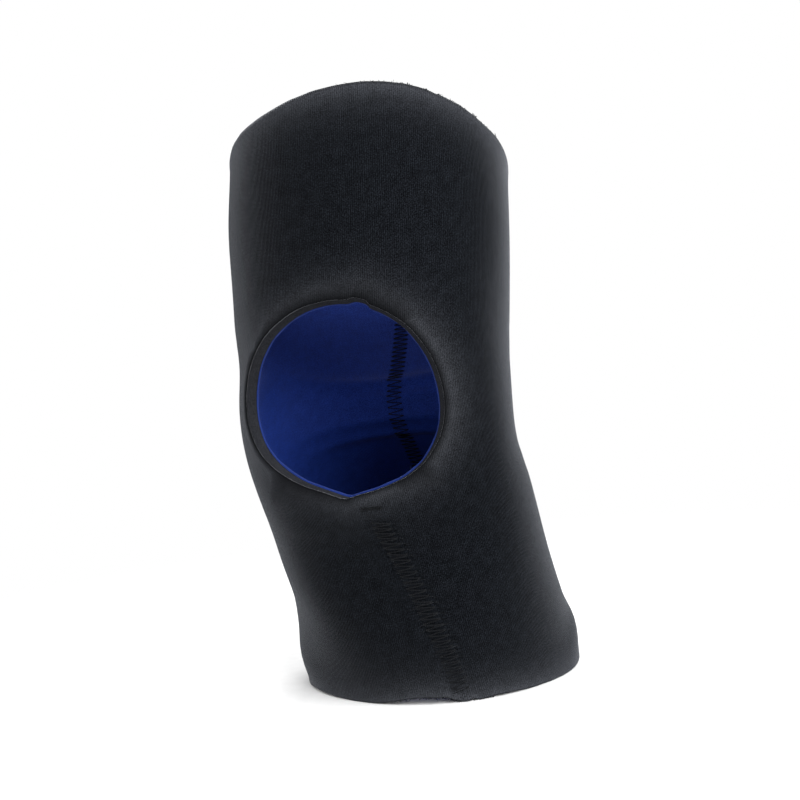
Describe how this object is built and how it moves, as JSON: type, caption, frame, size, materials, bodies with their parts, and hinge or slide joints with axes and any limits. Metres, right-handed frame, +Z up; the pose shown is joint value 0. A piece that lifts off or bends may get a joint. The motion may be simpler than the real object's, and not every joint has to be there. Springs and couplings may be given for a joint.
{
  "type": "open-patella neoprene knee sleeve",
  "caption": "Pull-on neoprene knee sleeve, pre-bent at the knee, black outside with a blue lining, a round kneecap opening and a zigzag-sewn dart below it.",
  "frame": {"origin": "middle of the whole sleeve's footprint box, on the floor that the lower rim stands on", "axes": "+Z up along the leg, the front of the knee faces -Y, X runs across the knee"},
  "size_m": [0.1408, 0.1868, 0.2679],
  "materials": {
    "black_nylon_jersey": "fine ribbed nylon jersey, matt with a soft sheen at grazing angles",
    "neoprene_sponge": "matt closed-cell sponge, seen only at cut edges",
    "royal_blue_lining": "smooth nylon jersey lining",
    "sewing_thread": "polyester sewing thread, slight gloss"
  },
  "bodies": {
    "shin_section": {"face_jersey_shin": "black_nylon_jersey", "face_jersey_knee": "black_nylon_jersey", "neoprene_core_shin": "neoprene_sponge", "neoprene_core_knee": "neoprene_sponge", "lining_jersey_shin": "royal_blue_lining", "lining_jersey_knee": "royal_blue_lining", "dart_thread_face": "sewing_thread", "back_seam_thread_face_shin": "sewing_thread", "back_seam_thread_face_knee": "sewing_thread", "dart_thread_lining": "sewing_thread", "back_seam_thread_lining_shin": "sewing_thread", "back_seam_thread_lining_knee": "sewing_thread", "bar_tack": "sewing_thread"},
    "thigh_section": {"face_jersey_thigh": "black_nylon_jersey", "neoprene_core_thigh": "neoprene_sponge", "lining_jersey_thigh": "royal_blue_lining", "back_seam_thread_face_thigh": "sewing_thread", "back_seam_thread_lining_thigh": "sewing_thread"}
  },
  "joints": [
    {"name": "knee_flexion", "type": "hinge", "parent": "shin_section", "child": "thigh_section", "pos_m": [0, -0.0497, 0.1288], "axis": [-1, 0, 0], "range_deg": [-50, 36], "stiffness_Nm_per_rad": 0.6, "deforming": ["face_jersey_knee", "neoprene_core_knee", "lining_jersey_knee", "back_seam_thread_face_knee", "back_seam_thread_lining_knee"]}
  ]
}
